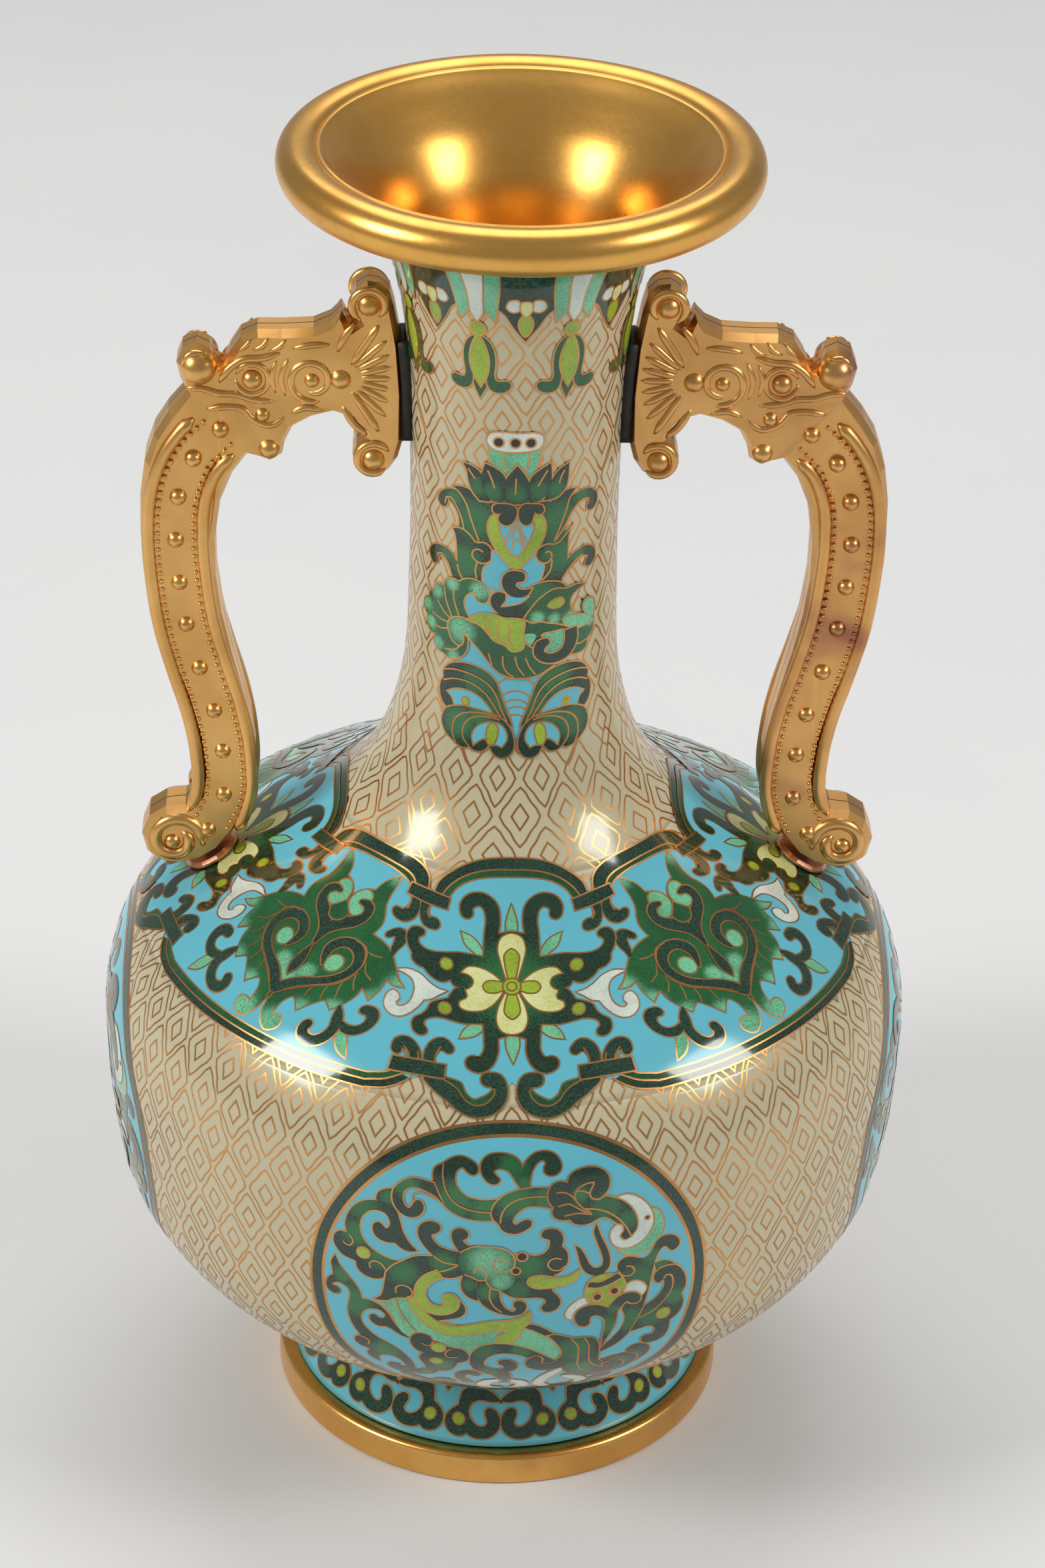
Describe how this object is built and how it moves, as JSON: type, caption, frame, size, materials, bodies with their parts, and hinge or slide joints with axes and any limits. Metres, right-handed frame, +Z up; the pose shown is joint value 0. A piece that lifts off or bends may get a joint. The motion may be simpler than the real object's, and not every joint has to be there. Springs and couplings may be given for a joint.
{
  "type": "cloisonne vase",
  "caption": "Tall bulbous enamelled metal vase with a gilt trumpet mouth, slender neck, dragon-head strap handles and a flared ringed foot.",
  "frame": {"origin": "centre of the foot ring's underside, on the vase's axis", "axes": "+Z up along the vase's axis, -Y towards the front medallion, handles in the XZ plane"},
  "size_m": [0.1784, 0.1784, 0.305],
  "materials": {
    "gilt_brass": "satin gilt",
    "gilt_handle": "cast, gilt, lightly worn",
    "copper": "spun copper, dull",
    "pad_copper": "bare copper, tarnished",
    "cream_enamel": "polished vitreous enamel with copper wires",
    "turquoise_enamel": "polished vitreous enamel with copper wires",
    "base_enamel": "plain unpolished counter-enamel"
  },
  "bodies": {
    "root": {"rim_bead": "gilt_brass", "mouth_lining": "gilt_brass", "neck_shell": "copper", "shoulder_shell": "copper", "belly_shell": "copper", "foot_wall": "copper", "foot_ring": "gilt_brass", "neck_enamel": "cream_enamel", "shoulder_band_enamel": "turquoise_enamel", "belly_enamel": "cream_enamel", "medallion_front": "turquoise_enamel", "medallion_right": "turquoise_enamel", "medallion_back": "turquoise_enamel", "medallion_left": "turquoise_enamel", "foot_enamel": "turquoise_enamel", "base_enamel": "base_enamel", "handle_left_front_half": "gilt_handle", "handle_left_back_half": "gilt_handle", "handle_left_pad": "pad_copper", "handle_right_front_half": "gilt_handle", "handle_right_back_half": "gilt_handle", "handle_right_pad": "pad_copper"}
  },
  "joints": []
}
